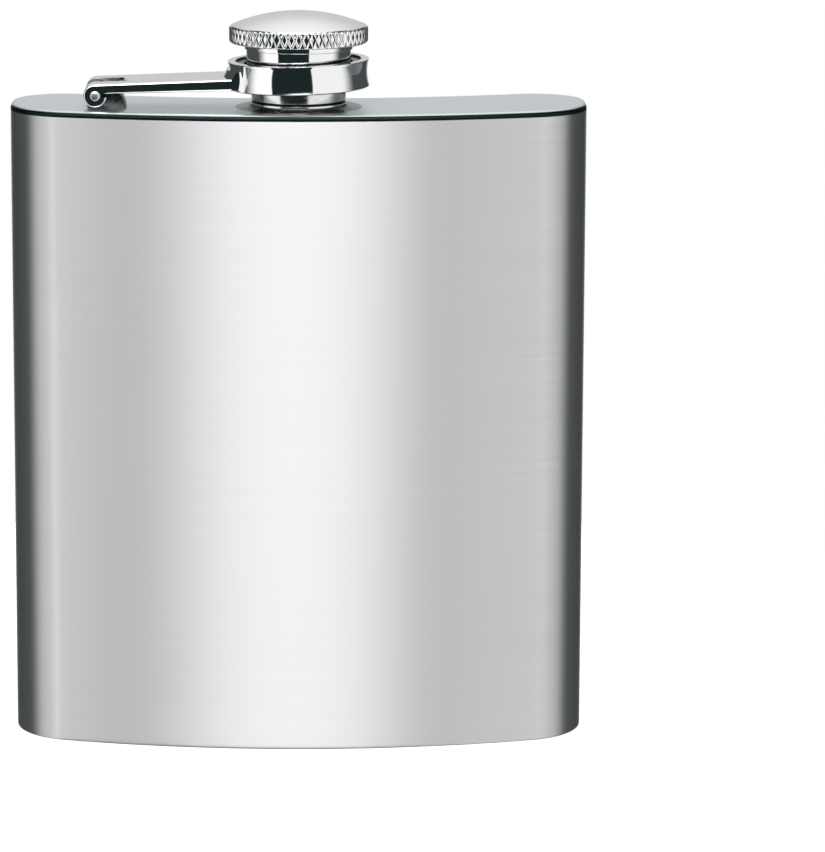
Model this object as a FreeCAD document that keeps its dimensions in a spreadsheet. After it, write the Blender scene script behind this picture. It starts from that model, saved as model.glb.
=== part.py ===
"""Curved steel hip flask with a screw cap held by a hinged captive arm.

Millimetres, +Z up. The origin is the bottom centre of the closed flask's bounding box.
The convex face looks along -Y, and the hinge is on the -X side of the neck.
"""
import FreeCAD, Part
import math
import os
import re

import Sketcher

os.makedirs("parts", exist_ok=True)

doc = FreeCAD.newDocument("hip_flask")

# ---------------------------------------------------------------- driving dimensions

SIZES = {
    # body: a slice between two arcs about one centre, closed by flat sides
    "body_width": 92.0,
    "body_height": 102.4,
    "body_thickness": 21.8,
    "front_arc_radius": 135.0,
    "front_crown": 13.78,
    "front_corner_radius": 11.5,
    "back_corner_radius": 8.0,
    "wall_thickness": 0.6,
    "top_plate_thickness": 1.0,
    "top_edge_radius": 0.8,
    "base_plate_thickness": 0.8,
    "base_edge_radius": 0.4,
    # neck: its heights are measured up from the top plate
    "neck_offset": -2.88,
    "bore_radius": 5.6,
    "neck_radius": 7.5,
    "groove_radius": 7.1,
    "groove_bottom": 0.95,
    "groove_top": 1.2,
    "shoulder_height": 3.3,
    "core_radius": 6.3,
    "neck_height": 8.0,
    "collar_radius": 10.0,
    "collar_height": 0.6,
    # thread, two turns
    "thread_pitch": 1.25,
    "thread_turns": 2.0,
    "thread_start": 4.35,
    "thread_depth": 0.4,
    "thread_root_half": 0.42,
    "thread_crest_half": 0.12,
    "cap_crest_radius": 7.1,
    # cap
    "skirt_radius": 8.3,
    "insert_radius": 7.75,
    "flange_radius": 9.3,
    "flange_bottom": 3.4,
    "flange_top": 3.95,
    "cap_ceiling": 9.1,
    "step_radius": 8.6,
    "step_height": 9.3,
    "knurl_radius": 11.0,
    "knurl_bottom": 10.3,
    "knurl_top": 13.0,
    "knurl_chamfer": 0.3,
    "dome_rise": 2.2,
    "gasket_radius": 6.95,
    "gasket_hole": 4.5,
    "gasket_gap": 0.05,
    # captive ring, its heights measured from its own middle
    "ring_radius": 11.25,
    "ring_hole": 9.95,
    "ring_height": 4.5,
    "ring_waist": 0.35,
    "ring_middle": 5.35,
    "ring_tilt": 1.3,
    "web_hole": 8.6,
    "web_bottom": 1.4,
    "web_top": 1.85,
    # hinge and arm, measured from the pin's axis
    "pin_distance": 32.0,
    "pin_height": 2.4,
    "pin_radius": 0.8,
    "pin_clearance": 0.05,
    "pin_overhang": 0.1,
    "arm_width": 11.6,
    "knuckle_radius": 1.85,
    "arm_end_top": 2.65,
    "arm_end_bottom": 0.85,
    "arm_start_bottom": 0.3,
    "arm_reach": 22.8,
    "ear_radius": 12.05,
    "ear_bottom": 0.9,
    "ear_top": 3.7,
    "lug_width": 4.0,
    "lug_radius": 1.75,
    "lug_foot_back": 1.4,
    "lug_foot_front": 4.7,
    "lug_arc_radius": 3.6,
    "slot_clearance": 0.15,
    "slot_end": 4.9,
    "slot_taper": 0.8,
}

sheet = doc.addObject("Spreadsheet::Sheet", "Sizes")
for row, (alias, size) in enumerate(SIZES.items(), start=1):
    sheet.set(f"A{row}", alias)
    sheet.set(f"B{row}", str(size))
    sheet.setAlias(f"B{row}", alias)
doc.recompute()


# ---------------------------------------------------------------- helpers


def sized(formula):
    """Turn a formula of dimension names into an expression that reads the sheet."""
    return re.sub(r"\b([a-z]+(?:_[a-z]+)+)\b", r"Sizes.\1", formula)


def number(formula):
    """Value of a formula of dimension names."""
    return float(sheet.evalExpression(sized(formula)))


def bind(item, prop, formula):
    """Tie a property of an object to a formula of dimension names."""
    item.setExpression(prop, sized(formula))


def new_body(label, across="0", along="0", up="0"):
    """Empty body whose origin stands at the given place."""
    body = doc.addObject("PartDesign::Body", label)
    body.Label = label
    for axis, formula in zip("xyz", (across, along, up)):
        bind(body, f"Placement.Base.{axis}", formula)
    return body


def new_sketch(body, name, role, offset="0"):
    """Sketch on one of the body's origin planes, moved along the plane's normal."""
    plane = next(item for item in body.Origin.OriginFeatures if item.Role == role)
    sketch = body.newObject("Sketcher::SketchObject", name)
    sketch.AttachmentSupport = [(plane, "")]
    sketch.MapMode = "FlatFace"
    bind(sketch, "AttachmentOffset.Base.z", offset)
    return sketch


def pin_point(sketch, edge, end, across, up):
    """Hold one end of a sketch edge at a place given by two formulas."""
    for kind, formula in (("DistanceX", across), ("DistanceY", up)):
        index = sketch.addConstraint(Sketcher.Constraint(kind, -1, 1, edge, end, number(formula)))
        sketch.renameConstraint(index, f"{kind}_{edge}_{end}")
        bind(sketch, f"Constraints.{kind}_{edge}_{end}", formula)


def arc_between(start, stop, radius, side):
    """Arc from start to stop. Its centre is left of the way there for side 1, right for -1."""
    chord = stop - start
    reach = math.sqrt(radius ** 2 - (chord.Length / 2) ** 2)
    left = FreeCAD.Vector(-chord.y, chord.x, 0).normalize()
    centre = (start + stop) / 2 + left * reach * side
    first, last = (start, stop) if side > 0 else (stop, start)
    angles = [math.atan2(point.y - centre.y, point.x - centre.x) for point in (first, last)]
    return Part.ArcOfCircle(Part.Circle(centre, FreeCAD.Vector(0, 0, 1), radius), *angles)


def add_outline(sketch, corners):
    """Closed outline. A corner is (x, y), or (x, y, radius, side) where an arc leaves it."""
    places = [FreeCAD.Vector(number(corner[0]), number(corner[1]), 0) for corner in corners]
    ends = []
    for index, corner in enumerate(corners):
        start = places[index]
        stop = places[(index + 1) % len(corners)]
        if len(corner) == 2:
            edge = sketch.addGeometry(Part.LineSegment(start, stop), False)
            ends.append((edge, 1, 2))
            continue
        radius, side = corner[2:]
        edge = sketch.addGeometry(arc_between(start, stop, number(radius), side), False)
        ends.append((edge, 1, 2) if side > 0 else (edge, 2, 1))
        size = sketch.addConstraint(Sketcher.Constraint("Radius", edge, number(radius)))
        sketch.renameConstraint(size, f"Radius_{edge}")
        bind(sketch, f"Constraints.Radius_{edge}", radius)
    for index, (edge, first, last) in enumerate(ends):
        pin_point(sketch, edge, first, *corners[index][:2])
        after, after_first, _ = ends[(index + 1) % len(ends)]
        sketch.addConstraint(Sketcher.Constraint("Coincident", edge, last, after, after_first))


def add_circle(sketch, radius, across="0", up="0"):
    """Circle whose radius and centre are formulas."""
    centre = FreeCAD.Vector(number(across), number(up), 0)
    circle = Part.Circle(centre, FreeCAD.Vector(0, 0, 1), number(radius))
    edge = sketch.addGeometry(circle, False)
    size = sketch.addConstraint(Sketcher.Constraint("Radius", edge, number(radius)))
    sketch.renameConstraint(size, f"Radius_{edge}")
    bind(sketch, f"Constraints.Radius_{edge}", radius)
    pin_point(sketch, edge, 3, across, up)


def pad(body, name, sketch, length, symmetric=False):
    """Extrude a sketch along its normal, or to both sides of it."""
    feature = body.newObject("PartDesign::Pad", name)
    feature.Profile = sketch
    bind(feature, "Length", length)
    if symmetric:
        feature.SideType = "Symmetric"
    doc.recompute()
    return feature


def pocket(body, name, sketch):
    """Cut a sketch through the whole body, both ways, and check that it removed material."""
    before = body.Shape.Volume
    feature = body.newObject("PartDesign::Pocket", name)
    feature.Profile = sketch
    feature.SideType = "Symmetric"
    feature.Type = "ThroughAll"
    doc.recompute()
    if body.Shape.Volume >= before:
        raise RuntimeError(f"{name} removes nothing")
    return feature


def lathe(body, name, corners):
    """Turn an outline of (radius, height) corners about the body's Z axis."""
    sketch = new_sketch(body, f"{name}_outline", "XZ_Plane")
    add_outline(sketch, corners)
    feature = body.newObject("PartDesign::Revolution", name)
    feature.Profile = sketch
    feature.ReferenceAxis = (sketch, ["V_Axis"])
    feature.Angle = 360
    doc.recompute()
    return feature


def fillet(body, name, base, chosen, radius):
    """Round the edges of the base feature for which chosen(edge) is true."""
    names = [f"Edge{i}" for i, edge in enumerate(base.Shape.Edges, start=1) if chosen(edge)]
    feature = body.newObject("PartDesign::Fillet", name)
    feature.Base = (base, names)
    bind(feature, "Radius", radius)
    doc.recompute()
    return feature


def helix(body, name, corners):
    """Add a thread ridge: an outline of (radius, height) corners wound round the Z axis."""
    sketch = new_sketch(body, f"{name}_outline", "XZ_Plane")
    add_outline(sketch, corners)
    feature = body.newObject("PartDesign::AdditiveHelix", name)
    feature.Profile = sketch
    feature.ReferenceAxis = (sketch, ["V_Axis"])
    feature.Mode = "pitch-height-angle"
    bind(feature, "Pitch", "thread_pitch")
    bind(feature, "Height", "thread_pitch * thread_turns")
    doc.recompute()
    return feature


# ---------------------------------------------------------------- body


def is_upright(edge):
    """True for a straight edge along Z."""
    return edge.Curve.TypeId == "Part::GeomLine" and abs(edge.tangentAt(0).z) > 0.99


def body_slab(label, bottom, height):
    """Solid slice of the flask's plan outline, with rounded corners."""
    slab = new_body(label, up=bottom)
    outline = new_sketch(slab, f"{label}_plan", "XY_Plane")
    half = "body_width / 2"
    back_radius = "(front_arc_radius - body_thickness)"
    centre = "(front_arc_radius - front_crown)"
    front_edge = f"{centre} - sqrt(front_arc_radius ^ 2 - ({half}) ^ 2)"
    back_edge = f"{centre} - sqrt({back_radius} ^ 2 - ({half}) ^ 2)"
    add_outline(outline, [
        (f"-{half}", front_edge, "front_arc_radius", 1),
        (half, front_edge),
        (half, back_edge, back_radius, -1),
        (f"-{half}", back_edge),
    ])
    solid = pad(slab, f"{label}_pad", outline, height)
    front = fillet(slab, f"{label}_front_corners", solid,
                   lambda edge: is_upright(edge) and edge.CenterOfMass.y < 0, "front_corner_radius")
    back = fillet(slab, f"{label}_back_corners", front,
                  lambda edge: is_upright(edge) and edge.CenterOfMass.y > number(back_edge) - 0.1,
                  "back_corner_radius")
    return slab, back


def rim_test(height):
    """Test for edges that lie level at the given height of a body."""
    def chosen(edge):
        box = edge.BoundBox
        return abs(box.ZMin - height) < 0.001 and abs(box.ZMax - height) < 0.001
    return chosen


def build_shell():
    """Thin curved tube, open at both ends."""
    body, solid = body_slab("body_shell", "base_plate_thickness",
                            "body_height - top_plate_thickness - base_plate_thickness")
    ends = [f"Face{i}" for i, face in enumerate(solid.Shape.Faces, start=1)
            if abs(face.normalAt(0, 0).z) > 0.99]
    shell = body.newObject("PartDesign::Thickness", "body_shell_wall")
    shell.Base = (solid, ends)
    bind(shell, "Value", "wall_thickness")
    shell.Reversed = True
    doc.recompute()
    return body


def build_top_plate():
    """Flat plate with a rounded outer edge and a hole for the neck."""
    body, solid = body_slab("top_plate", "body_height - top_plate_thickness",
                            "top_plate_thickness")
    fillet(body, "top_plate_edge", solid, rim_test(number("top_plate_thickness")),
           "top_edge_radius")
    hole = new_sketch(body, "top_plate_hole", "XY_Plane")
    add_circle(hole, "neck_radius", up="neck_offset")
    pocket(body, "top_plate_neck_hole", hole)
    return body


def build_base_plate():
    """Flat plate with a small rounded lower edge."""
    body, solid = body_slab("base_plate", "0", "base_plate_thickness")
    fillet(body, "base_plate_edge", solid, rim_test(0.0), "base_edge_radius")
    return body


# ---------------------------------------------------------------- neck


def build_neck():
    """Tube through the top plate: grooved foot, shoulder, and a threaded spout above it."""
    body = new_body("neck_tube", along="neck_offset", up="body_height")
    lathe(body, "neck_tube_turned", [
        ("bore_radius", "-top_plate_thickness"),
        ("neck_radius", "-top_plate_thickness"),
        ("neck_radius", "groove_bottom"),
        ("groove_radius", "groove_bottom"),
        ("groove_radius", "groove_top"),
        ("neck_radius", "groove_top"),
        ("neck_radius", "shoulder_height"),
        ("core_radius", "shoulder_height"),
        ("core_radius", "neck_height"),
        ("bore_radius", "neck_height"),
    ])
    inside = "core_radius - 0.1"
    crest = "core_radius + thread_depth"
    helix(body, "neck_tube_thread", [
        (inside, "thread_start - thread_root_half"),
        (crest, "thread_start - thread_crest_half"),
        (crest, "thread_start + thread_crest_half"),
        (inside, "thread_start + thread_root_half"),
    ])
    return body


def build_collar():
    """Low cone round the foot of the neck."""
    body = new_body("neck_collar", along="neck_offset", up="body_height")
    lathe(body, "neck_collar_turned", [
        ("neck_radius", "0"),
        ("collar_radius", "0"),
        ("neck_radius + 0.4", "collar_height"),
        ("neck_radius", "collar_height"),
    ])
    return body


# ---------------------------------------------------------------- cap


def build_cap_shell():
    """Domed top, grip band, stepped shoulder and skirt, open below."""
    body = new_body("cap_shell", along="neck_offset", up="body_height")
    brim = "(knurl_radius - knurl_chamfer)"
    lathe(body, "cap_shell_turned", [
        ("0", "cap_ceiling"),
        ("insert_radius", "cap_ceiling"),
        ("insert_radius", "flange_top"),
        ("skirt_radius", "flange_top"),
        ("skirt_radius", "step_height"),
        ("step_radius", "step_height"),
        ("step_radius", "knurl_bottom"),
        (brim, "knurl_bottom"),
        ("knurl_radius", "knurl_bottom + knurl_chamfer"),
        ("knurl_radius", "knurl_top - knurl_chamfer"),
        (brim, "knurl_top", f"({brim} ^ 2 + dome_rise ^ 2) / (2 * dome_rise)", 1),
        ("0", "knurl_top + dome_rise"),
    ])
    return body


def build_cap_insert():
    """Threaded sleeve inside the cap, with the flange that keeps the captive ring on."""
    body = new_body("cap_thread_sleeve", along="neck_offset", up="body_height")
    root = "cap_crest_radius + thread_depth"
    lathe(body, "cap_thread_sleeve_turned", [
        (root, "flange_bottom"),
        ("flange_radius", "flange_bottom"),
        ("flange_radius", "flange_top"),
        ("insert_radius", "flange_top"),
        ("insert_radius", "cap_ceiling"),
        (root, "cap_ceiling"),
    ])
    inside = "insert_radius - 0.1"
    turn = "thread_start + thread_pitch / 2"
    helix(body, "cap_thread_sleeve_thread", [
        (inside, f"{turn} - thread_root_half"),
        (inside, f"{turn} + thread_root_half"),
        ("cap_crest_radius", f"{turn} + thread_crest_half"),
        ("cap_crest_radius", f"{turn} - thread_crest_half"),
    ])
    return body


def build_gasket():
    """Flat sealing ring between the neck's lip and the cap's ceiling."""
    body = new_body("cap_gasket", along="neck_offset", up="body_height")
    lathe(body, "cap_gasket_turned", [
        ("gasket_hole", "neck_height + gasket_gap"),
        ("gasket_radius", "neck_height + gasket_gap"),
        ("gasket_radius", "cap_ceiling - gasket_gap"),
        ("gasket_hole", "cap_ceiling - gasket_gap"),
    ])
    return body


# ---------------------------------------------------------------- captive ring and arm


def ring_body(label):
    """Body at the ring's middle, tilted so that its far side stands higher."""
    body = new_body(label, along="neck_offset", up="body_height + ring_middle")
    body.Placement.Rotation = FreeCAD.Rotation(FreeCAD.Vector(0, 1, 0), -number("ring_tilt"))
    return body


WAIST_RADIUS = "((ring_height / 2) ^ 2 + ring_waist ^ 2) / (2 * ring_waist)"


def build_ring():
    """Deep ring with a waisted outside and an inner web round the cap's skirt."""
    body = ring_body("captive_ring")
    lathe(body, "captive_ring_turned", [
        ("ring_hole", "-ring_height / 2"),
        ("ring_radius", "-ring_height / 2", WAIST_RADIUS, -1),
        ("ring_radius", "ring_height / 2"),
        ("ring_hole", "ring_height / 2"),
        ("ring_hole", "web_top"),
        ("web_hole", "web_top"),
        ("web_hole", "web_bottom"),
        ("ring_hole", "web_bottom"),
    ])
    return body


def build_ring_space():
    """Solid that fills the ring out to its waisted outside."""
    body = ring_body("ring_space")
    lathe(body, "ring_space_turned", [
        ("0", "-ring_height / 2"),
        ("ring_radius", "-ring_height / 2", WAIST_RADIUS, -1),
        ("ring_radius", "ring_height / 2"),
        ("0", "ring_height / 2"),
    ])
    return body


def hinge_body(label):
    """Body whose origin is on the hinge pin's axis."""
    return new_body(label, across="-pin_distance", along="neck_offset",
                    up="body_height + pin_height")


def build_arm():
    """Strip with two knuckles round the pin, a slot between them, and ears at the ring."""
    body = hinge_body("arm_strip")
    side = new_sketch(body, "arm_side", "XZ_Plane")
    add_outline(side, [
        ("0", "arm_start_bottom"),
        ("arm_reach", "arm_end_bottom"),
        ("arm_reach", "arm_end_top"),
        ("0", "knuckle_radius"),
    ])
    pad(body, "arm_pad", side, "arm_width", symmetric=True)
    curl = new_sketch(body, "arm_curl", "XZ_Plane")
    add_circle(curl, "knuckle_radius")
    pad(body, "arm_knuckles", curl, "arm_width", symmetric=True)

    ear = new_sketch(body, "arm_ear", "XY_Plane", offset="ear_bottom")
    half = "arm_width / 2"
    inner = "(ring_radius - 1.2)"
    outer_edge = f"pin_distance - sqrt(ear_radius ^ 2 - ({half}) ^ 2)"
    inner_edge = f"pin_distance - sqrt({inner} ^ 2 - ({half}) ^ 2)"
    add_outline(ear, [
        (outer_edge, half, "ear_radius", 1),
        (outer_edge, f"-{half}"),
        (inner_edge, f"-{half}", inner, -1),
        (inner_edge, half),
    ])
    pad(body, "arm_ears", ear, "ear_top - ear_bottom")

    slot = new_sketch(body, "arm_slot", "XY_Plane")
    gap = "(lug_width / 2 + slot_clearance)"
    add_outline(slot, [
        ("-2 * knuckle_radius", f"-{gap}"),
        ("slot_end", f"-{gap}"),
        ("slot_end - slot_taper", gap),
        ("-2 * knuckle_radius", gap),
    ])
    pocket(body, "arm_slot_cut", slot)
    hole = new_sketch(body, "arm_pin_hole", "XZ_Plane")
    add_circle(hole, "pin_radius + pin_clearance")
    pocket(body, "arm_pin_bore", hole)

    arm = doc.addObject("Part::Cut", "captive_arm")
    arm.Label = "captive_arm"
    arm.Base = body
    arm.Tool = build_ring_space()
    doc.recompute()
    return arm


def build_lug():
    """Rounded saddle on the top plate, with one knuckle that holds the pin."""
    body = hinge_body("hinge_lug")
    side = new_sketch(body, "lug_side", "XZ_Plane")
    add_outline(side, [
        ("-lug_foot_back", "-pin_height"),
        ("lug_foot_front", "-pin_height", "lug_arc_radius", 1),
        ("0", "lug_radius - 0.5"),
        ("-lug_foot_back", "0"),
    ])
    pad(body, "lug_pad", side, "lug_width", symmetric=True)
    curl = new_sketch(body, "lug_curl", "XZ_Plane")
    add_circle(curl, "lug_radius")
    pad(body, "lug_knuckle", curl, "lug_width", symmetric=True)
    hole = new_sketch(body, "lug_pin_hole", "XZ_Plane")
    add_circle(hole, "pin_radius")
    pocket(body, "lug_pin_bore", hole)
    return body


def build_pin():
    """Hinge pin, a little longer than the arm is wide."""
    body = hinge_body("hinge_pin")
    section = new_sketch(body, "pin_section", "XZ_Plane")
    add_circle(section, "pin_radius")
    pad(body, "pin_rod", section, "arm_width + 2 * pin_overhang", symmetric=True)
    return body


# ---------------------------------------------------------------- build and export

pieces = [
    build_shell(),
    build_top_plate(),
    build_base_plate(),
    build_neck(),
    build_collar(),
    build_cap_shell(),
    build_cap_insert(),
    build_gasket(),
    build_ring(),
    build_arm(),
    build_lug(),
    build_pin(),
]
doc.recompute()

for item in doc.Objects:
    if "Invalid" in item.State or "Error" in item.State:
        raise RuntimeError(f"{item.Label} failed: {item.State}")

for piece in pieces:
    shape = piece.Shape
    if shape.isNull() or not shape.isValid():
        raise RuntimeError(f"{piece.Label} has a bad shape")
    if len(shape.Solids) != 1:
        raise RuntimeError(f"{piece.Label} has {len(shape.Solids)} solids")
    shape.exportStep(f"parts/{piece.Label}.step")
    print(f"{piece.Label}: {shape.Volume:.2f} cubic mm")

whole = Part.makeCompound([piece.Shape for piece in pieces]).BoundBox
print(f"box X {whole.XMin:.3f} {whole.XMax:.3f}, Y {whole.YMin:.3f} {whole.YMax:.3f}, "
      f"Z {whole.ZMin:.3f} {whole.ZMax:.3f}")
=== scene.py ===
"""Hip flask: brushed curved body, turned neck, polished cap held by a hinged captive arm.

Shapes are worked out in millimetres in the frame's axes and scaled to metres when a mesh is made.
"""
import math

import bmesh
import bpy
from mathutils import Matrix, Vector


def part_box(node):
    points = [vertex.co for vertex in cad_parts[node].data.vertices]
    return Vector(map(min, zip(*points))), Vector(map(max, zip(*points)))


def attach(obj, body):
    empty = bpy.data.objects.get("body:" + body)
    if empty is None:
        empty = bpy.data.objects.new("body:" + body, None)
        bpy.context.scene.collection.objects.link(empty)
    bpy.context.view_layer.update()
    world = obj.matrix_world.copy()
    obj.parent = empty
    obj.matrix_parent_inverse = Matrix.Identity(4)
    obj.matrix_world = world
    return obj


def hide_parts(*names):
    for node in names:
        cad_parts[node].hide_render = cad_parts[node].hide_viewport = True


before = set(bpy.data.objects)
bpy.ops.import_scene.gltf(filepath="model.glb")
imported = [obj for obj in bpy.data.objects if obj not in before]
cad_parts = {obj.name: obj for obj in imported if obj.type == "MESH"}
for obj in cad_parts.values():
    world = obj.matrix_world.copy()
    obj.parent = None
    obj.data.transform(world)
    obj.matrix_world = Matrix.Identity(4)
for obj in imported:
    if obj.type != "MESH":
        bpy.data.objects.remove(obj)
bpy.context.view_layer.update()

MM = 0.001


# ------------------------------------------------------------------ sizes

def box_mm(node):
    """Lowest and highest corner of a CAD node, in millimetres."""
    low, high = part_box(node)
    return Vector(low) / MM, Vector(high) / MM


SHELL_LOW, SHELL_HIGH = box_mm("body_shell")
PLATE_LOW, PLATE_HIGH = box_mm("top_plate")
BASE_HIGH = box_mm("base_plate")[1]
NECK_LOW, NECK_HIGH = box_mm("neck_tube")
PIN_LOW, PIN_HIGH = box_mm("hinge_pin")
RING_LOW, RING_HIGH = box_mm("captive_ring")
LUG_LOW, LUG_HIGH = box_mm("hinge_lug")
SEAL_LOW, SEAL_HIGH = box_mm("cap_gasket")
CAP_LOW, CAP_HIGH = box_mm("cap_shell")

HALF_WIDTH = SHELL_HIGH.x
FRONT_RADIUS = 135.0
BACK_RADIUS = FRONT_RADIUS - 21.8
ARC_CENTRE = SHELL_LOW.y + FRONT_RADIUS
FRONT_CORNER = 11.5
BACK_CORNER = 8.0
WALL = 0.6
EDGE_RADIUS = 0.8
BASE_EDGE_RADIUS = 0.4
FLAT_MARGIN = 0.15

TOP = PLATE_HIGH.z
NECK_AXIS = (NECK_LOW + NECK_HIGH) / 2
NECK_RADIUS = (NECK_HIGH.x - NECK_LOW.x) / 2
BORE_RADIUS = 5.6
CORE_RADIUS = 6.3
PITCH = 1.25
THREAD_START = 4.35
THREAD_TURNS = 2.0
RIDGE_ROOT = 0.42
RIDGE_CREST = 0.12
GROOVE_LOW = 0.90
GROOVE_HIGH = 1.24
GROOVE_DEPTH = 0.4
SHOULDER_HEIGHT = 3.3
COLLAR_RADIUS = 10.0
COLLAR_SPREAD = 2.3
COLLAR_HEIGHT = 0.6

CAP_RADIUS = (CAP_HIGH.x - CAP_LOW.x) / 2
BAND_LOW = 10.3
BAND_HIGH = 13.0
SHOULDER_RADIUS = 8.6
SHOULDER_LOW = 9.3
SKIRT_RADIUS = 8.3
SKIRT_LOW = 3.95
SLEEVE_RADIUS = 7.75
SLEEVE_HOLE = 7.5
CEILING = 9.1
FLANGE_RADIUS = 9.3
FLANGE_LOW = 3.4
CAP_CREST = 7.1
SEAL_HOLE = 4.5
KNURL_COUNT = 62
KNURL_DEPTH = 0.15
KNURL_CROSSINGS = 2.15
RIDGE_SHARE = 0.4

RING_RADIUS = 11.25
RING_HOLE = 9.95
RING_HEIGHT = 4.5
RING_WAIST = 0.35
RING_TILT = math.radians(1.3)
WEB_HOLE = 8.6
WEB_LOW = 1.4
WEB_HIGH = 1.85
RING_MIDDLE = (RING_LOW + RING_HIGH) / 2

PIN = (PIN_LOW + PIN_HIGH) / 2
PIN_RADIUS = (PIN_HIGH.x - PIN_LOW.x) / 2
ARM_WIDTH = 11.6
ARM_REACH = 22.6
ARM_TOP = 2.65
ARM_UNDER = 0.85
ARM_ROUNDING = 0.30
EAR_HOLE = 10.4
EAR_FOOT = 12.05
EAR_TOP = 11.4
SLOT_HALF = 2.15
SLOT_FLARE = 0.2
KNUCKLE_RADIUS = 1.85
LUG_TOE = 3.6
LUG_ROUNDING = 0.2
PIN_DOME = 0.22


# ------------------------------------------------------------------ outlines

def arc(centre, radius, start, stop, steps):
    """Points on an arc from one angle to another, in degrees, both ends included."""
    angles = [math.radians(start + (stop - start) * i / steps) for i in range(steps + 1)]
    return [(centre[0] + radius * math.cos(a), centre[1] + radius * math.sin(a)) for a in angles]


def rounded(corners, steps=4):
    """Open outline whose corners are (x, y) or (x, y, radius), with the radii made arcs."""
    points = []
    for index, corner in enumerate(corners):
        place = Vector(corner[:2])
        if len(corner) == 2:
            points.append(tuple(place))
            continue
        before = (Vector(corners[index - 1][:2]) - place).normalized()
        after = (Vector(corners[(index + 1) % len(corners)][:2]) - place).normalized()
        half = before.angle(after) / 2
        reach = corner[2] / math.tan(half)
        middle = place + (before + after).normalized() * (corner[2] / math.sin(half))
        first = place + before * reach - middle
        turn = first.angle_signed(place + after * reach - middle)
        for step in range(steps + 1):
            swung = Matrix.Rotation(-turn * step / steps, 2) @ first
            points.append(tuple(middle + swung))
    return points


def plan(inset):
    """The flask's plan outline, counter-clockwise, moved inwards by inset."""
    width = HALF_WIDTH - inset
    front = FRONT_RADIUS - inset
    back = BACK_RADIUS + inset
    front_x = HALF_WIDTH - FRONT_CORNER
    front_y = ARC_CENTRE - math.sqrt((FRONT_RADIUS - FRONT_CORNER) ** 2 - front_x ** 2)
    back_x = HALF_WIDTH - BACK_CORNER
    back_y = ARC_CENTRE - math.sqrt((BACK_RADIUS + BACK_CORNER) ** 2 - back_x ** 2)
    front_turn = math.degrees(math.asin(front_x / (FRONT_RADIUS - FRONT_CORNER)))
    back_turn = math.degrees(math.asin(back_x / (BACK_RADIUS + BACK_CORNER)))
    centre = (0.0, ARC_CENTRE)
    points = arc(centre, front, -90 - front_turn, -90 + front_turn, 120)[:-1]
    points += arc((front_x, front_y), FRONT_CORNER - inset, -90 + front_turn, 0, 28)[:-1]
    side = [(width, front_y + (back_y - front_y) * i / 4) for i in range(4)]
    points += side
    points += arc((back_x, back_y), BACK_CORNER - inset, 0, 90 + back_turn, 32)[:-1]
    points += arc(centre, back, -90 + back_turn, -90 - back_turn, 110)[:-1]
    points += arc((-back_x, back_y), BACK_CORNER - inset, 90 - back_turn, 180, 32)[:-1]
    points += [(-x, back_y + front_y - y) for x, y in side]
    points += arc((-front_x, front_y), FRONT_CORNER - inset, 180, 270 - front_turn, 28)[:-1]
    return points


# ------------------------------------------------------------------ meshes

def place_mesh(name, mesh_data, body, replaces, slot, materials, sharp=38):
    """Scale a bmesh to metres, make it an object, shade it, hang it on its body's empty and hide
    the CAD parts it replaces.
    """
    bmesh.ops.scale(mesh_data, vec=(MM, MM, MM), verts=mesh_data.verts)
    bmesh.ops.recalc_face_normals(mesh_data, faces=mesh_data.faces)
    for face in mesh_data.faces:
        face.smooth = True
    for edge in mesh_data.edges:
        edge.smooth = edge.calc_face_angle(0.0) < math.radians(sharp)
    mesh = bpy.data.meshes.new(name)
    mesh_data.to_mesh(mesh)
    mesh_data.free()
    piece = bpy.data.objects.new(name, mesh)
    bpy.context.scene.collection.objects.link(piece)
    for material in materials:
        mesh.materials.append(material)
    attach(piece, body)
    if replaces:
        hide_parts(*replaces)
    return piece


def add_grid(target, rows, closed=False, slots=None):
    """Skin a stack of closed rings, each a list of points. Returns the rings' vertices."""
    uv = target.loops.layers.uv.verify()
    rings = []
    for row in rows:
        if all((Vector(point) - Vector(row[0])).length < 1e-9 for point in row):
            pole = target.verts.new(row[0])
            rings.append([pole] * len(row))
        else:
            rings.append([target.verts.new(point) for point in row])
    count = len(rows[0])
    across = [0.0]
    for i in range(count):
        step = Vector(rows[0][i]) - Vector(rows[0][(i + 1) % count])
        across.append(across[-1] + max(step.length, 1e-4))
    up = [0.0]
    for low, high in zip(rows, rows[1:] + rows[:1]):
        up.append(up[-1] + max((Vector(low[0]) - Vector(high[0])).length, 1e-4))
    spans = len(rows) if closed else len(rows) - 1
    for j in range(spans):
        low, high = rings[j], rings[(j + 1) % len(rows)]
        for i in range(count):
            k = (i + 1) % count
            corners = [low[i], low[k], high[k], high[i]]
            marks = [(across[i], up[j]), (across[i + 1], up[j]),
                     (across[i + 1], up[j + 1]), (across[i], up[j + 1])]
            kept = [n for n in range(4) if corners[n] is not corners[n - 1]]
            if len(kept) < 3:
                continue
            face = target.faces.new([corners[n] for n in kept])
            if slots:
                face.material_index = slots[j]
            for loop, n in zip(face.loops, kept):
                loop[uv].uv = Vector(marks[n]) * MM
    return rings


def ring_edges(target, ring):
    """The edges that join a closed ring of vertices."""
    edges = []
    for first, second in zip(ring, ring[1:] + ring[:1]):
        edges.append(target.edges.get((first, second)) or target.edges.new((first, second)))
    return edges


def fill_flat(target, *rings):
    """Fill the level region bounded by one ring, or between two, with planar UVs."""
    uv = target.loops.layers.uv.verify()
    edges = [edge for ring in rings for edge in ring_edges(target, ring)]
    made = bmesh.ops.triangle_fill(target, edges=edges, use_beauty=True)
    for item in made["geom"]:
        if isinstance(item, bmesh.types.BMFace):
            for loop in item.loops:
                loop[uv].uv = loop.vert.co.xy * MM


def lathe_rows(profile, segments, centre):
    """Rings of a profile of (radius, height) turned about a vertical axis at centre."""
    angles = [2 * math.pi * i / segments for i in range(segments)]
    return [[(centre[0] + r * math.sin(a), centre[1] - r * math.cos(a), centre[2] + z)
             for a in angles] for r, z in profile]


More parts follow.
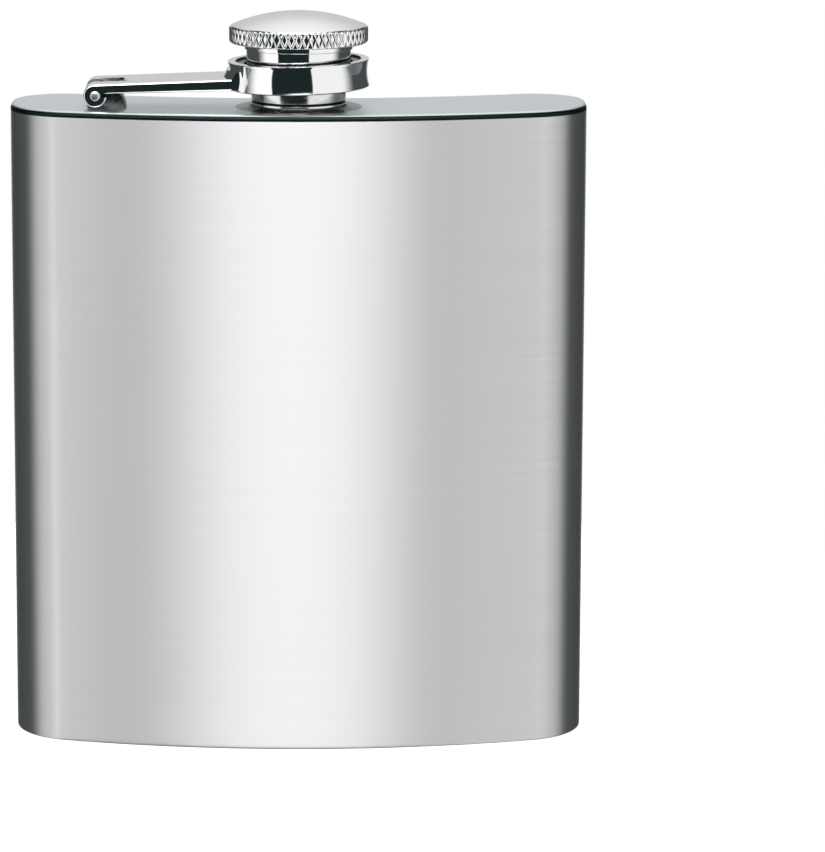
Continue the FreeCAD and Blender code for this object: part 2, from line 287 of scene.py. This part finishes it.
def lathe(name, profile, centre, segments, tilt=0.0, slots=None, **facts):
    """Turned piece, optionally tilted about its own centre."""
    target = bmesh.new()
    add_grid(target, lathe_rows(profile, segments, (0, 0, 0)), closed=True, slots=slots)
    turn = Matrix.Translation(Vector(centre)) @ Matrix.Rotation(-tilt, 4, "Y")
    bmesh.ops.transform(target, matrix=turn, verts=target.verts)
    return place_mesh(name, target, **facts)


def thread_section(root, crest):
    """Ridge of a thread as (radius, height), from its root to its narrower crest."""
    return [(root, -RIDGE_ROOT), (root, RIDGE_ROOT), (crest, RIDGE_CREST), (crest, -RIDGE_CREST)]


def helix(name, section, centre, start, turns, **facts):
    """Thread ridge: a section of (radius, height) wound up a right-handed helix."""
    target = bmesh.new()
    steps = int(96 * turns)
    rings = []
    root = sum(point[0] for point in section[:2]) / 2
    for step in range(steps + 1):
        share = step / steps
        angle = 2 * math.pi * turns * share
        fade = min(1.0, share * turns * 8, (1 - share) * turns * 8)
        ring = []
        for radius, height in section:
            reach = root + (radius - root) * max(fade, 0.02)
            up = start + PITCH * turns * share + height
            ring.append(target.verts.new((centre[0] + reach * math.cos(angle),
                                          centre[1] + reach * math.sin(angle), centre[2] + up)))
        rings.append(ring)
    for low, high in zip(rings, rings[1:]):
        for i in range(len(section)):
            k = (i + 1) % len(section)
            target.faces.new((low[i], low[k], high[k], high[i]))
    target.faces.new(rings[0])
    target.faces.new(rings[-1])
    return place_mesh(name, target, **facts)


# ------------------------------------------------------------------ materials

def node_tree(material):
    """Nodes, links and the principled shader of a material."""
    material.use_nodes = True
    nodes = material.node_tree.nodes
    return nodes, material.node_tree.links, nodes["Principled BSDF"]


def scratches(nodes, links, source, scale, stretch):
    """Noise drawn out along one direction."""
    mapping = nodes.new("ShaderNodeMapping")
    mapping.inputs["Scale"].default_value = stretch
    links.new(source, mapping.inputs["Vector"])
    noise = nodes.new("ShaderNodeTexNoise")
    noise.inputs["Scale"].default_value = scale
    noise.inputs["Detail"].default_value = 3.0
    noise.inputs["Roughness"].default_value = 0.6
    links.new(mapping.outputs["Vector"], noise.inputs["Vector"])
    return noise.outputs["Fac"]


def spread(nodes, links, value, low, high):
    """Map a noise value onto a range."""
    node = nodes.new("ShaderNodeMapRange")
    node.inputs["From Min"].default_value = 0.3
    node.inputs["From Max"].default_value = 0.7
    node.inputs["To Min"].default_value = low
    node.inputs["To Max"].default_value = high
    links.new(value, node.inputs["Value"])
    return node.outputs["Result"]


def tinted(nodes, links, value, dark, light):
    """Blend two colours by a noise value."""
    mix = nodes.new("ShaderNodeMix")
    mix.data_type = "RGBA"
    mix.inputs[6].default_value = (*dark, 1)
    mix.inputs[7].default_value = (*light, 1)
    links.new(value, mix.inputs[0])
    return mix.outputs[2]


def add_bump(nodes, links, shader, value, strength, distance):
    """Raise the surface by a noise value."""
    bump = nodes.new("ShaderNodeBump")
    bump.inputs["Strength"].default_value = strength
    bump.inputs["Distance"].default_value = distance
    links.new(value, bump.inputs["Height"])
    links.new(bump.outputs["Normal"], shader.inputs["Normal"])


def steel(name, dark, light, roughness, grain_scale, grain_stretch, bump=0.05,
          anisotropic=0.0, use_uv=False):
    """Steel whose tint, roughness and relief follow a drawn-out grain."""
    material = bpy.data.materials.new(name)
    nodes, links, shader = node_tree(material)
    coordinates = nodes.new("ShaderNodeTexCoord")
    source = coordinates.outputs["UV" if use_uv else "Object"]
    grain = scratches(nodes, links, source, grain_scale, grain_stretch)
    shader.inputs["Metallic"].default_value = 1.0
    links.new(tinted(nodes, links, grain, dark, light), shader.inputs["Base Color"])
    links.new(spread(nodes, links, grain, *roughness), shader.inputs["Roughness"])
    add_bump(nodes, links, shader, grain, bump, 0.00002)
    if anisotropic:
        shader.inputs["Anisotropic"].default_value = anisotropic
        shader.inputs["Anisotropic Rotation"].default_value = 0.25
        tangent = nodes.new("ShaderNodeTangent")
        tangent.direction_type = "UV_MAP"
        links.new(tangent.outputs["Tangent"], shader.inputs["Tangent"])
    return material


BRUSHED = steel("brushed_shell_steel", (0.83, 0.82, 0.825), (0.91, 0.90, 0.905), (0.43, 0.49),
                1000.0, (0.02, 4.0, 1.0), bump=0.08, anisotropic=1.0, use_uv=True)
SATIN = steel("satin_plate_steel", (0.70, 0.74, 0.76), (0.74, 0.78, 0.80), (0.32, 0.40),
              2500.0, (1.0, 1.0, 1.0), bump=0.05)
# Painted shade: near-black steel laid on the top plate's rounded edge, the base's lower edge and
# the neck's groove, in place of the dark they would reflect.
EDGE_PAINTED_SHADE = steel("painted_shade_edge_steel", (0.010, 0.018, 0.017), (0.014, 0.023, 0.021), (0.34, 0.42),
             1500.0, (1.0, 1.0, 1.0))
# Painted shade: dark steel for the weld flare, standing in for the shadow at the neck's foot.
FLARE_PAINTED_SHADE = steel("flare_painted_shade_steel", (0.15, 0.18, 0.18), (0.21, 0.24, 0.24), (0.24, 0.34),
              1500.0, (1.0, 1.0, 1.0))
# Painted shade: dark steel inside the ring and on the lug under the arm, in place of the dark
# that polished steel there would reflect.
PAINTED_SHADE_STEEL = steel("painted_shade_dark_steel", (0.10, 0.10, 0.10), (0.16, 0.16, 0.16), (0.20, 0.32),
               1500.0, (1.0, 1.0, 1.0))
TURNED = steel("turned_neck_steel", (0.60, 0.59, 0.58), (0.97, 0.96, 0.95), (0.08, 0.24),
               1500.0, (0.4, 0.4, 3.0), bump=0.2)
POLISHED = steel("polished_steel", (0.88, 0.88, 0.885), (0.93, 0.93, 0.935), (0.03, 0.07),
                 700.0, (1.0, 1.0, 1.0), bump=0.02)
DOME = steel("domed_cap_steel", (0.84, 0.84, 0.85), (0.88, 0.88, 0.89), (0.20, 0.26),
             900.0, (1.0, 1.0, 1.0), bump=0.02)


def make_silicone():
    """Soft white seal."""
    material = bpy.data.materials.new("seal_silicone")
    nodes, links, shader = node_tree(material)
    coordinates = nodes.new("ShaderNodeTexCoord")
    mottle = scratches(nodes, links, coordinates.outputs["Object"], 900.0, (1, 1, 1))
    links.new(tinted(nodes, links, mottle, (0.70, 0.70, 0.67), (0.80, 0.80, 0.78)),
              shader.inputs["Base Color"])
    links.new(spread(nodes, links, mottle, 0.42, 0.55), shader.inputs["Roughness"])
    shader.inputs["Subsurface Weight"].default_value = 0.15
    shader.inputs["Subsurface Scale"].default_value = 0.001
    return material


SILICONE = make_silicone()


# ------------------------------------------------------------------ body

def at_height(outline, height):
    """Lift a plan outline to a height."""
    return [(x, y, height) for x, y in outline]


def circle_at(radius, height):
    """Level circle about the neck's axis."""
    return lathe_rows([(radius, 0.0)], 160, (NECK_AXIS.x, NECK_AXIS.y, height))[0]


def rounded_edge(bends, radius, high):
    """Plans that turn in from an upright edge to a level face, a radius below or at high."""
    angles = [math.pi / 2 * i / bends for i in range(bends + 1)]
    return [(plan(radius * (1 - math.cos(a))), high - radius * (1 - math.sin(a))) for a in angles]


def build_shell():
    """Brushed tube with its real wall thickness."""
    target = bmesh.new()
    low, high = SHELL_LOW.z, SHELL_HIGH.z
    outside, inside = plan(0.0), plan(WALL)
    rows = [at_height(outside, low + (high - low) * i / 8) for i in range(9)]
    rows += [at_height(inside, high), at_height(inside, low)]
    add_grid(target, rows, closed=True)
    return place_mesh("brushed_shell", target, "flask", ["body_shell"], "brushed_shell",
                      [BRUSHED])


def build_top_plate():
    """Flat plate with the neck's hole and a rounded edge whose upright band and lower bends are
    painted near-black as shade.
    """
    target = bmesh.new()
    low = PLATE_LOW.z
    bends = 6
    dark = bends - 2
    rows = [at_height(plan(0.0), low)]
    rows += [at_height(*row) for row in rounded_edge(bends, EDGE_RADIUS, TOP)]
    rows.append(at_height(plan(EDGE_RADIUS + FLAT_MARGIN), TOP))
    rings = add_grid(target, rows, slots=[1] * dark + [0] * (len(rows) - 1 - dark))
    wall = add_grid(target, [circle_at(NECK_RADIUS, TOP), circle_at(NECK_RADIUS, low)])
    fill_flat(target, rings[-1], wall[0])
    fill_flat(target, rings[0], wall[1])
    return place_mesh("top_plate_sheet", target, "flask", ["top_plate"], "satin_plate",
                      [SATIN, EDGE_PAINTED_SHADE])


def build_base_plate():
    """Flat base with a small rounded edge whose lower bends are painted near-black as shade."""
    target = bmesh.new()
    bends = 4
    bright = bends - 1
    rows = [at_height(plan(0.0), BASE_HIGH.z)]
    rows += [at_height(outline, -height)
             for outline, height in rounded_edge(bends, BASE_EDGE_RADIUS, 0.0)]
    rows.append(at_height(plan(BASE_EDGE_RADIUS + FLAT_MARGIN), 0.0))
    rings = add_grid(target, rows, slots=[2] * bright + [1] * (bends + 1 - bright) + [0])
    fill_flat(target, rings[-1])
    fill_flat(target, rings[0])
    return place_mesh("base_plate_sheet", target, "flask", ["base_plate"], "satin_plate",
                      [SATIN, EDGE_PAINTED_SHADE, BRUSHED])


# ------------------------------------------------------------------ neck

NECK_PLACE = (NECK_AXIS.x, NECK_AXIS.y, TOP)


def build_neck():
    """Turned neck: grooved foot, shoulder, threaded spout and bore."""
    sink = PLATE_LOW.z - TOP
    floor = NECK_RADIUS - GROOVE_DEPTH
    profile = rounded([
        (BORE_RADIUS, sink),
        (NECK_RADIUS, sink),
        (NECK_RADIUS, GROOVE_LOW, 0.06),
        (floor, GROOVE_LOW),
        (floor, GROOVE_HIGH),
        (NECK_RADIUS, GROOVE_HIGH, 0.06),
        (NECK_RADIUS, SHOULDER_HEIGHT, 0.2),
        (CORE_RADIUS, SHOULDER_HEIGHT, 0.15),
        (CORE_RADIUS, NECK_HIGH.z - TOP, 0.2),
        (BORE_RADIUS, NECK_HIGH.z - TOP, 0.2),
    ])
    # Painted shade: the groove and its rounded rims take the near-black steel, the rest the
    # bright turned steel.
    rim = GROOVE_HIGH + 0.08  # the groove and its rounded rims are dark, the rest is bright
    slots = [int(BORE_RADIUS < min(low[0], high[0]) < NECK_RADIUS - 0.01
                 and max(low[1], high[1]) < rim)
             for low, high in zip(profile, profile[1:] + profile[:1])]
    lathe("neck_turned", profile, NECK_PLACE, 160, slots=slots, body="flask",
          replaces=["neck_tube"], slot="turned_neck", materials=[TURNED, EDGE_PAINTED_SHADE])
    section = thread_section(CORE_RADIUS - 0.1, CORE_RADIUS + 0.4)
    helix("neck_thread", section, NECK_PLACE, THREAD_START, THREAD_TURNS, body="flask",
          replaces=[], slot="turned_neck", materials=[TURNED])


def build_collar():
    """Weld flare that runs out onto the plate, in dark steel as painted shade at the neck's foot.
    """
    turns = [math.pi / 2 * i / 8 for i in range(9)]
    curve = [(COLLAR_RADIUS - COLLAR_SPREAD * math.sin(a), COLLAR_HEIGHT * (1 - math.cos(a)))
             for a in turns]
    profile = [(NECK_RADIUS, 0.0)] + curve + [(NECK_RADIUS, COLLAR_HEIGHT)]
    lathe("neck_flare", profile, NECK_PLACE, 160, body="flask", replaces=["neck_collar"],
          slot="turned_neck", materials=[FLARE_PAINTED_SHADE])


# ------------------------------------------------------------------ cap

def triangle_wave(value):
    """Ridge pattern: 1 on whole numbers, falling to 0 half way between them."""
    return abs(2 * (value - math.floor(value)) - 1)


def knurl_drop(angle, height):
    """How far the knurled band lies below its crests at an angle and a share of its height."""
    turn = KNURL_COUNT * angle / (2 * math.pi)
    rise = KNURL_CROSSINGS * height
    ridge = max(triangle_wave(turn + rise / 2), triangle_wave(turn - rise / 2))
    return KNURL_DEPTH * (1 - max(0.0, (ridge - (1 - RIDGE_SHARE)) / RIDGE_SHARE))


def build_cap():
    """Domed top, diamond-knurled band, stepped shoulder and skirt in one piece."""
    low, high = BAND_LOW, BAND_HIGH
    bevel_width = 0.3
    rise = CAP_HIGH.z - TOP - high
    brim = CAP_RADIUS - bevel_width
    sphere = (brim ** 2 + rise ** 2) / (2 * rise)
    segments = KNURL_COUNT * 12
    dome = []
    for i in range(23):
        radius = brim * (i / 22)
        dome.append((radius, high + rise - sphere + math.sqrt(sphere ** 2 - radius ** 2)))
    band_rows = 24
    under = rounded([(brim - 0.05, low), (SHOULDER_RADIUS, low),
                     (SHOULDER_RADIUS, SHOULDER_LOW, 0.1), (SKIRT_RADIUS, SHOULDER_LOW),
                     (SKIRT_RADIUS, SKIRT_LOW, 0.1), (SLEEVE_RADIUS, SKIRT_LOW),
                     (SLEEVE_RADIUS, CEILING), (0.0, CEILING)])
    rows = lathe_rows(dome, segments, (0, 0, 0))
    slots = [1] * (len(dome) - 1) + [0] * (band_rows + 1 + len(under))
    angles = [2 * math.pi * i / segments for i in range(segments)]
    for j in range(band_rows + 1):
        share = j / band_rows
        height = high - (high - low) * share
        edge = min(share, 1 - share) * (high - low)
        bevel = max(0.0, bevel_width - edge)
        ring = []
        for a in angles:
            radius = min(CAP_RADIUS - knurl_drop(a, share), CAP_RADIUS - bevel)
            ring.append((radius * math.sin(a), -radius * math.cos(a), height))
        rows.append(ring)
    rows += lathe_rows(under, segments, (0, 0, 0))
    target = bmesh.new()
    add_grid(target, rows, slots=slots)
    bmesh.ops.translate(target, vec=NECK_PLACE, verts=target.verts)
    return place_mesh("cap_body", target, "cap", ["cap_shell"], "polished_cap",
                      [POLISHED, DOME], sharp=50)


def build_insert():
    """Threaded sleeve with the flange that keeps the ring on."""
    profile = rounded([(SLEEVE_HOLE, FLANGE_LOW, 0.08), (FLANGE_RADIUS, FLANGE_LOW, 0.12),
                       (FLANGE_RADIUS, SKIRT_LOW, 0.12), (SLEEVE_RADIUS, SKIRT_LOW),
                       (SLEEVE_RADIUS, CEILING), (SLEEVE_HOLE, CEILING)])
    lathe("cap_insert", profile, NECK_PLACE, 160, body="cap", replaces=["cap_thread_sleeve"],
          slot="polished_cap", materials=[POLISHED])
    section = thread_section(SLEEVE_HOLE + 0.1, CAP_CREST)
    helix("cap_insert_thread", section, NECK_PLACE, THREAD_START + PITCH / 2, THREAD_TURNS,
          body="cap", replaces=[], slot="polished_cap", materials=[POLISHED])


def build_seal():
    """Silicone washer under the cap's ceiling."""
    outer = (SEAL_HIGH.x - SEAL_LOW.x) / 2
    low, high = SEAL_LOW.z - TOP, SEAL_HIGH.z - TOP
    profile = rounded([(SEAL_HOLE, low, 0.15), (outer, low, 0.15), (outer, high, 0.15),
                       (SEAL_HOLE, high, 0.15)])
    lathe("seal_washer", profile, NECK_PLACE, 128, body="cap_seal", replaces=["cap_gasket"],
          slot="seal_rubber", materials=[SILICONE])


# ------------------------------------------------------------------ ring and arm

def ring_outside(height):
    """Radius of the ring's waisted outside at a height from its middle."""
    share = height / (RING_HEIGHT / 2)
    return RING_RADIUS - RING_WAIST * (1 - share ** 2)


def build_ring():
    """Deep polished ring with a waisted outside and an inner web; the inner walls and web are
    dark steel as painted shade.
    """
    half = RING_HEIGHT / 2
    steps = 20
    outside = []
    for i in range(steps + 1):
        height = -half + RING_HEIGHT * i / steps
        outside.append((ring_outside(height), height))
    outside[0] = (RING_RADIUS - 0.45, -half)
    outside.insert(1, (RING_RADIUS - 0.2, -half + 0.06))
    outside.insert(2, (RING_RADIUS - 0.06, -half + 0.2))
    outside[-1] = (RING_RADIUS - 0.25, half)
    outside.insert(-1, (RING_RADIUS - 0.07, half - 0.07))
    inside = [(RING_HOLE, half, 0.15), (RING_HOLE, WEB_HIGH), (WEB_HOLE, WEB_HIGH, 0.1),
              (WEB_HOLE, WEB_LOW, 0.1), (RING_HOLE, WEB_LOW), (RING_HOLE, -half, 0.15)]
    profile = rounded(outside + inside)
    # Faces at or inside the ring's hole get the dark steel: painted shade.
    slots = [int(max(low[0], high[0]) <= RING_HOLE + 0.01)
             for low, high in zip(profile, profile[1:] + profile[:1])]
    lathe("ring_band", profile, tuple(RING_MIDDLE), 192, tilt=RING_TILT, slots=slots,
          body="captive_arm", replaces=["captive_ring"], slot="polished_cap",
          materials=[POLISHED, PAINTED_SHADE_STEEL])


def banded(outline_at, half_width, rounding):
    """Solid along Y with rounded rims, from a function that gives its taken-in X-Z outline."""
    turns = [math.pi / 6 * i for i in range(4)]
    side = [(rounding * (1 - math.cos(a)), half_width - rounding * (1 - math.sin(a)))
            for a in turns]
    levels = [(inset, -y) for inset, y in reversed(side)] + side
    target = bmesh.new()
    rings = add_grid(target, [[(x, y, z) for x, z in outline_at(inset)] for inset, y in levels])
    target.faces.new(rings[0])
    target.faces.new(rings[-1])
    bmesh.ops.recalc_face_normals(target, faces=target.faces)
    return target


def temporary(name, mesh_data):
    """Object that holds a mesh while booleans run."""
    mesh = bpy.data.meshes.new(name)
    mesh_data.to_mesh(mesh)
    mesh_data.free()
    piece = bpy.data.objects.new(name, mesh)
    bpy.context.scene.collection.objects.link(piece)
    return piece


def combined(base, *operations):
    """Apply booleans to an object and return the result as a bmesh."""
    for kind, tool in operations:
        step = base.modifiers.new(tool.name, "BOOLEAN")
        step.operation = kind
        step.solver = "EXACT"
        step.object = tool
    weld = base.modifiers.new("weld", "WELD")
    weld.merge_threshold = 0.004
    graph = bpy.context.evaluated_depsgraph_get()
    result = bmesh.new()
    result.from_object(base, graph)
    for item in [tool for _, tool in operations] + [base]:
        bpy.data.objects.remove(item, do_unlink=True)
    return result


def prism(*levels):
    """Solid through closed outlines in X and Y, each paired with its height."""
    target = bmesh.new()
    rings = add_grid(target, [at_height(outline, height) for outline, height in levels])
    target.faces.new(rings[0])
    target.faces.new(rings[-1])
    bmesh.ops.recalc_face_normals(target, faces=target.faces)
    return target


def strip_outline(inset):
    """Side outline of the arm's strip with its curl, about the pin's axis."""
    top = [(ARM_REACH, ARM_TOP - inset), (0.25, KNUCKLE_RADIUS - inset)]
    curl = arc((0, 0), KNUCKLE_RADIUS - inset, 92, 352, 44)
    bore = arc((0, 0), PIN_RADIUS + 0.05, 350, 20, 36)
    return top + curl + bore + [(1.86, 0.32 + inset), (ARM_REACH, ARM_UNDER + inset)]


def build_arm():
    """Strip rolled round the pin, with a slot for the lug and ears that hug the ring."""
    half = ARM_WIDTH / 2
    strip = temporary("arm_strip_base", banded(strip_outline, half, ARM_ROUNDING))
    gap, wide_gap = SLOT_HALF, SLOT_HALF + SLOT_FLARE
    near_end, far_end = 4.9, 4.1
    slot = [(-4, -gap), (near_end, -gap), (far_end, gap), (-4, gap)]
    mouth = [(-4, -wide_gap), (near_end + SLOT_FLARE, -wide_gap), (far_end + SLOT_FLARE, gap),
             (-4, gap)]
    slot_cut = temporary("arm_slot_tool", prism((slot, -3), (slot, 1.80), (mouth, 2.00),
                                                (mouth, 4)))
    distance = RING_MIDDLE.x - PIN.x
    lean = math.degrees(math.asin(half / EAR_HOLE))
    inner = arc((distance, 0), EAR_HOLE, 180 + lean, 180 - lean, 24)
    wide, narrow = [arc((distance, 0), radius, 180 - math.degrees(math.asin(half / radius)),
                        180 + math.degrees(math.asin(half / radius)), 24) + inner
                    for radius in (EAR_FOOT, EAR_TOP)]
    ears = temporary("arm_ear_tool", prism((wide, 0.9), (wide, 2.4), (narrow, 3.7)))
    plug = bmesh.new()
    steps = 12
    heights = [-RING_HEIGHT / 2 + RING_HEIGHT * i / steps for i in range(steps + 1)]
    profile = [(0.0, heights[0])] + [(ring_outside(h), h) for h in heights] + [(0.0, heights[-1])]
    add_grid(plug, lathe_rows(profile, 160, (0, 0, 0)))
    middle = RING_MIDDLE - Vector(PIN)
    turn = Matrix.Translation(middle) @ Matrix.Rotation(-RING_TILT, 4, "Y")
    bmesh.ops.transform(plug, matrix=turn, verts=plug.verts)
    bmesh.ops.recalc_face_normals(plug, faces=plug.faces)
    ring_tool = temporary("arm_ring_tool", plug)
    result = combined(strip, ("UNION", ears), ("DIFFERENCE", slot_cut),
                      ("DIFFERENCE", ring_tool))
    bmesh.ops.translate(result, vec=PIN, verts=result.verts)
    return place_mesh("arm_strip", result, "captive_arm", ["captive_arm"], "polished_cap",
                      [POLISHED], sharp=35)


def lug_outline(inset):
    """Side outline of the lug, about the pin's axis."""
    foot = LUG_LOW.z - PIN.z
    front = LUG_HIGH.x - PIN.x
    toe = arc((front - LUG_TOE, foot), LUG_TOE - inset, 4, 70, 14)
    knuckle = arc((0, 0), PIN.x - LUG_LOW.x - inset, 60, 215, 26)
    return [(-1.4 + inset, foot), (front - inset, foot)] + toe + knuckle


def build_lug():
    """Rounded saddle with the knuckle that holds the pin, in dark steel as painted shade."""
    result = banded(lug_outline, (LUG_HIGH.y - LUG_LOW.y) / 2, LUG_ROUNDING)
    bmesh.ops.translate(result, vec=PIN, verts=result.verts)
    return place_mesh("lug_saddle", result, "flask", ["hinge_lug"], "polished_cap",
                      [PAINTED_SHADE_STEEL], sharp=35)


def build_pin():
    """Pin with softly domed ends."""
    half = (PIN_HIGH.y - PIN_LOW.y) / 2
    profile = [(0.0, -half)]
    profile += [(PIN_RADIUS * math.sin(t), -half + PIN_DOME * (1 - math.cos(t)))
                for t in (math.pi / 2 * i / 8 for i in range(1, 9))]
    profile += [(r, -z) for r, z in reversed(profile)]
    target = bmesh.new()
    add_grid(target, lathe_rows(profile, 64, (0, 0, 0)))
    turn = Matrix.Translation(PIN) @ Matrix.Rotation(math.pi / 2, 4, "X")
    bmesh.ops.transform(target, matrix=turn, verts=target.verts)
    return place_mesh("pin_rod", target, "flask", ["hinge_pin"], "polished_cap", [SATIN])


build_shell()
build_top_plate()
build_base_plate()
build_neck()
build_collar()
build_cap()
build_insert()
build_seal()
build_ring()
build_arm()
build_lug()
build_pin()


# ------------------------------------------------------------------ studio

def smooth_step(nodes, links, value, start, stop):
    """0 below start, 1 above stop, smooth between."""
    node = nodes.new("ShaderNodeMapRange")
    node.interpolation_type = "SMOOTHSTEP"
    node.inputs["From Min"].default_value = start
    node.inputs["From Max"].default_value = stop
    links.new(value, node.inputs["Value"])
    return node.outputs["Result"]


def blend_colours(nodes, links, share, first, second):
    """Mix two colour sockets."""
    mix = nodes.new("ShaderNodeMix")
    mix.data_type = "RGBA"
    links.new(share, mix.inputs[0])
    links.new(first, mix.inputs[6])
    links.new(second, mix.inputs[7])
    return mix.outputs[2]


# Panels of light round the flask, as azimuths from the front with right positive: start, stop,
# soft border before the start, soft border after the stop, level. The walls and the weak side
# fill stand low, round a dark gap in front. The key light, left window and right fill hang above.
BACK_WALL = [(-200, -166, 1, 12, 0.6), (166, 200, 12, 1, 0.6)]
SIDE_FILL = [(-150, -105, 15, 20, 0.05), (105, 150, 20, 15, 0.05)]
LEFT_WALL = (-72, -47, 31, 2, 1.1)
RIGHT_WALL = (24, 76, 2, 29, 0.95)
SIDE_WALLS = BACK_WALL + SIDE_FILL + [LEFT_WALL, RIGHT_WALL]
KEY_LIGHT = (-8, 8, 30, 22, 6.2)
LEFT_WINDOW = (-46, -38, 16, 10, 3.8)
RIGHT_FILL = (50, 60, 20, 22, 0.9)
OVERHEAD = BACK_WALL + [KEY_LIGHT, LEFT_WINDOW, RIGHT_FILL]
FLAG = (0.013, 0.021, 0.021)
TENT = (0.035, 0.050, 0.048)
ROOF = 1.1

# Where one part of the surround gives way to the next, as a share of straight up, and for the
# back also of straight back.
WALL_TOP = (0.34, 0.44)
ROOF_EDGE = (0.80, 0.95)
BACK_RISE = (0.32, 0.86)
BACK_DEPTH = (0.25, 0.50)
FLOOR_RADIUS = 0.16


def math_node(nodes, links, operation, first, second):
    """Arithmetic on two sockets."""
    node = nodes.new("ShaderNodeMath")
    node.operation = operation
    links.new(first, node.inputs[0])
    links.new(second, node.inputs[1])
    return node.outputs["Value"]


def constant_colour(nodes, colour):
    """A constant colour socket."""
    node = nodes.new("ShaderNodeRGB")
    node.outputs["Color"].default_value = (*colour, 1.0)
    return node.outputs["Color"]


def lit_by(nodes, links, azimuth, cloth, panels):
    """Dark cloth with each panel's light added to it."""
    total = constant_colour(nodes, cloth)
    for start, stop, border_before, border_after, level in panels:
        rise = smooth_step(nodes, links, azimuth, start - border_before, start)
        fall = smooth_step(nodes, links, azimuth, stop + border_after, stop)
        window = math_node(nodes, links, "MULTIPLY", rise, fall)
        add = nodes.new("ShaderNodeVectorMath")
        add.operation = "MULTIPLY_ADD"
        links.new(window, add.inputs[0])
        add.inputs[1].default_value = (level, level, level)
        links.new(total, add.inputs[2])
        total = add.outputs["Vector"]
    return total


def build_world():
    """Soft studio surround: dark tent with panels of light, plain white to the camera."""
    world = bpy.data.worlds.new("studio")
    bpy.context.scene.world = world
    world.use_nodes = True
    nodes, links = world.node_tree.nodes, world.node_tree.links
    nodes.clear()
    coordinates = nodes.new("ShaderNodeTexCoord")
    parts = nodes.new("ShaderNodeSeparateXYZ")
    links.new(coordinates.outputs["Generated"], parts.inputs["Vector"])
    flip = nodes.new("ShaderNodeMath")
    flip.operation = "MULTIPLY"
    flip.inputs[1].default_value = -1.0
    links.new(parts.outputs["Y"], flip.inputs[0])
    angle = math_node(nodes, links, "ARCTAN2", parts.outputs["X"], flip.outputs["Value"])
    degrees = nodes.new("ShaderNodeMath")
    degrees.operation = "DEGREES"
    links.new(angle, degrees.inputs[0])
    azimuth = degrees.outputs["Value"]
    up = parts.outputs["Z"]
    roof = constant_colour(nodes, (ROOF, ROOF, ROOF))
    back = math_node(nodes, links, "MULTIPLY", smooth_step(nodes, links, up, *BACK_RISE),
                     smooth_step(nodes, links, parts.outputs["Y"], *BACK_DEPTH))
    colour = blend_colours(nodes, links, smooth_step(nodes, links, up, *WALL_TOP),
                           lit_by(nodes, links, azimuth, FLAG, SIDE_WALLS),
                           lit_by(nodes, links, azimuth, TENT, OVERHEAD))
    colour = blend_colours(nodes, links, back, colour, roof)
    colour = blend_colours(nodes, links, smooth_step(nodes, links, up, *ROOF_EDGE), colour, roof)
    surround = nodes.new("ShaderNodeBackground")
    links.new(colour, surround.inputs["Color"])
    white = nodes.new("ShaderNodeBackground")
    white.inputs["Color"].default_value = (1, 1, 1, 1)
    path = nodes.new("ShaderNodeLightPath")
    choose = nodes.new("ShaderNodeMixShader")
    links.new(path.outputs["Is Camera Ray"], choose.inputs["Fac"])
    links.new(surround.outputs["Background"], choose.inputs[1])
    links.new(white.outputs["Background"], choose.inputs[2])
    out = nodes.new("ShaderNodeOutputWorld")
    links.new(choose.outputs["Shader"], out.inputs["Surface"])


def build_floor():
    """Plain pale floor disc."""
    material = bpy.data.materials.new("pale_floor")
    nodes, links, shader = node_tree(material)
    shader.inputs["Base Color"].default_value = (0.9, 0.9, 0.9, 1)
    shader.inputs["Roughness"].default_value = 0.9
    shader.inputs["Emission Color"].default_value = (1, 1, 1, 1)
    shader.inputs["Emission Strength"].default_value = 0.45
    mesh = bpy.data.meshes.new("floor")
    target = bmesh.new()
    bmesh.ops.create_circle(target, cap_ends=True, segments=96, radius=FLOOR_RADIUS)
    target.to_mesh(mesh)
    target.free()
    mesh.materials.append(material)
    floor = bpy.data.objects.new("floor", mesh)
    floor.location = (0, 0, -0.00002)
    floor.visible_glossy = False
    bpy.context.scene.collection.objects.link(floor)


CAMERA_DISTANCE = 0.700
CAMERA_HEIGHT = 0.1942
CAMERA_PITCH = math.radians(10.81)
CAMERA_TURN = math.radians(0.04)


def build_camera():
    """Long lens a little above the flask, shifted so that the flask stands left of centre."""
    camera = bpy.data.cameras.new("camera")
    camera.sensor_width = 36.0
    camera.sensor_fit = "AUTO"
    camera.lens = 187.9
    camera.shift_x = 0.1373
    camera.shift_y = -0.0704
    camera.clip_start = 0.01
    camera.clip_end = 20.0
    holder = bpy.data.objects.new("camera", camera)
    bpy.context.scene.collection.objects.link(holder)
    holder.location = (0.0, NECK_AXIS.y * MM - CAMERA_DISTANCE, CAMERA_HEIGHT)
    holder.rotation_euler = (math.pi / 2 - CAMERA_PITCH, 0.0, CAMERA_TURN)
    bpy.context.scene.camera = holder


build_world()
build_floor()
build_camera()
bpy.context.scene.view_settings.view_transform = "Standard"
